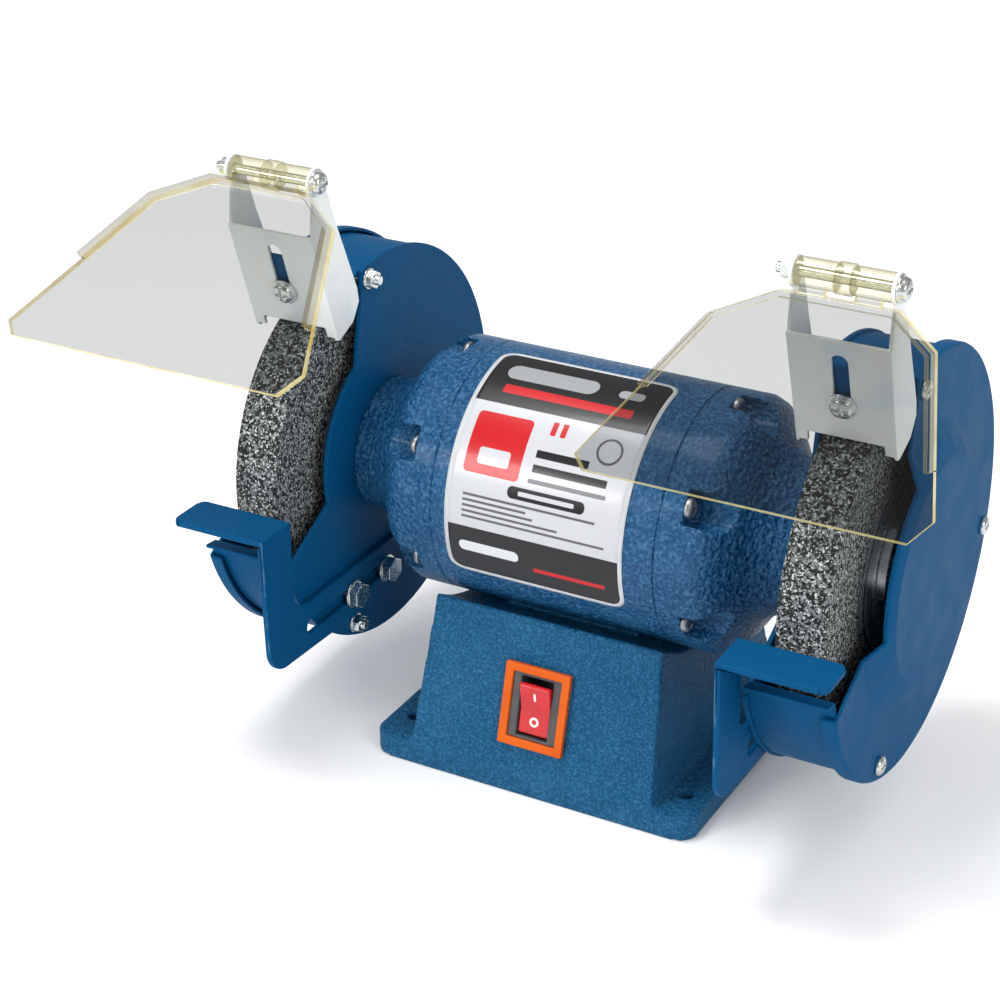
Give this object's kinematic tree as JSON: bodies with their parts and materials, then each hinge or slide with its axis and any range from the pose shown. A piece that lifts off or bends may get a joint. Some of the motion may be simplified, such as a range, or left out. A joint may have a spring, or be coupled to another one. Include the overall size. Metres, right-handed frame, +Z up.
{
  "type": "bench grinder",
  "caption": "Bench grinder: a pedestal motor with a guarded grinding wheel, sliding tool rest and tilting clear eye shield at each end.",
  "frame": {"origin": "centre of the four base holes, on the face that rests on the bench", "axes": "+X along the shaft to the right-hand wheel, -Y towards the operator, +Z up"},
  "size_m": [0.3821, 0.1991, 0.2523],
  "materials": {
    "blue_paint": "hammer texture enamel",
    "zinc": "bright zinc plate",
    "steel": "turned",
    "grit": "vitrified abrasive grain",
    "wheel_paper": "printed paper",
    "clear_plastic": "clear moulded sheet",
    "orange_plastic": "moulded",
    "red_plastic": "moulded",
    "dark_plastic": "moulded",
    "light_plastic": "moulded",
    "label": "printed film",
    "copper": "enamelled wire",
    "laminations": "stacked sheet"
  },
  "bodies": {
    "frame": {"base_housing": "blue_paint", "bottom_cover": "steel", "bottom_screws": "zinc", "cable_gland": "dark_plastic", "switch_bezel": "orange_plastic", "switch_body": "dark_plastic", "capacitor": "light_plastic", "terminal_block": "light_plastic", "motor_shell": "blue_paint", "motor_bolts": "zinc", "left_bell": "blue_paint", "right_bell": "blue_paint", "bell_screws": "zinc", "stator_core": "laminations", "stator_windings": "copper", "left_bearing": "steel", "right_bearing": "steel", "front_label": "label", "left_guard_plate": "blue_paint", "right_guard_plate": "blue_paint", "left_guard_band": "blue_paint", "right_guard_band": "blue_paint", "left_guard_cover": "blue_paint", "right_guard_cover": "blue_paint", "left_cover_screws": "zinc", "right_cover_screws": "zinc", "left_guard_screws": "zinc", "right_guard_screws": "zinc", "left_rest_bolts": "zinc", "right_rest_bolts": "zinc", "left_bracket_screw": "zinc", "right_bracket_screw": "zinc"},
    "spindle": {"rotor": "laminations", "shaft": "steel", "left_wheel": "grit", "left_blotters": "wheel_paper", "left_inner_flange": "steel", "left_outer_flange": "steel", "left_arbor_nut": "zinc", "right_wheel": "grit", "right_blotters": "wheel_paper", "right_inner_flange": "steel", "right_outer_flange": "steel", "right_arbor_nut": "zinc"},
    "rocker": {"switch_rocker": "red_plastic"},
    "left_rest": {"left_tool_rest": "blue_paint"},
    "left_bracket_body": {"left_bracket": "zinc", "left_hinge_collar": "clear_plastic", "left_hinge_screw": "zinc"},
    "left_shield": {"left_eye_shield": "clear_plastic"},
    "right_rest": {"right_tool_rest": "blue_paint"},
    "right_bracket_body": {"right_bracket": "zinc", "right_hinge_collar": "clear_plastic", "right_hinge_screw": "zinc"},
    "right_shield": {"right_eye_shield": "clear_plastic"}
  },
  "joints": [
    {"name": "spindle_spin", "type": "hinge", "parent": "frame", "child": "spindle", "pos_m": [0, 0, 0.114], "axis": [1, 0, 0], "continuous": true},
    {"name": "switch_rock", "type": "hinge", "parent": "frame", "child": "rocker", "pos_m": [0, -0.05168, 0.0371], "axis": [-1, 0, 0], "range_deg": [0, 22]},
    {"name": "left_rest_slide", "type": "slide", "parent": "frame", "child": "left_rest", "axis": [0, 1, 0], "range_m": [-0.0034, 0.005]},
    {"name": "left_bracket_slide", "type": "slide", "parent": "frame", "child": "left_bracket_body", "axis": [0, -0.3156, 0.9489], "range_m": [-0.0012, 0.004]},
    {"name": "left_shield_tilt", "type": "hinge", "parent": "left_bracket_body", "child": "left_shield", "pos_m": [-0.12075, -0.04948, 0.24628], "axis": [1, 0, 0], "range_deg": [-69, 31]},
    {"name": "right_rest_slide", "type": "slide", "parent": "frame", "child": "right_rest", "axis": [0, 1, 0], "range_m": [-0.0034, 0.005]},
    {"name": "right_bracket_slide", "type": "slide", "parent": "frame", "child": "right_bracket_body", "axis": [0, -0.3156, 0.9489], "range_m": [-0.0012, 0.004]},
    {"name": "right_shield_tilt", "type": "hinge", "parent": "right_bracket_body", "child": "right_shield", "pos_m": [0.12075, -0.04948, 0.24628], "axis": [1, 0, 0], "range_deg": [-95, 4]}
  ]
}
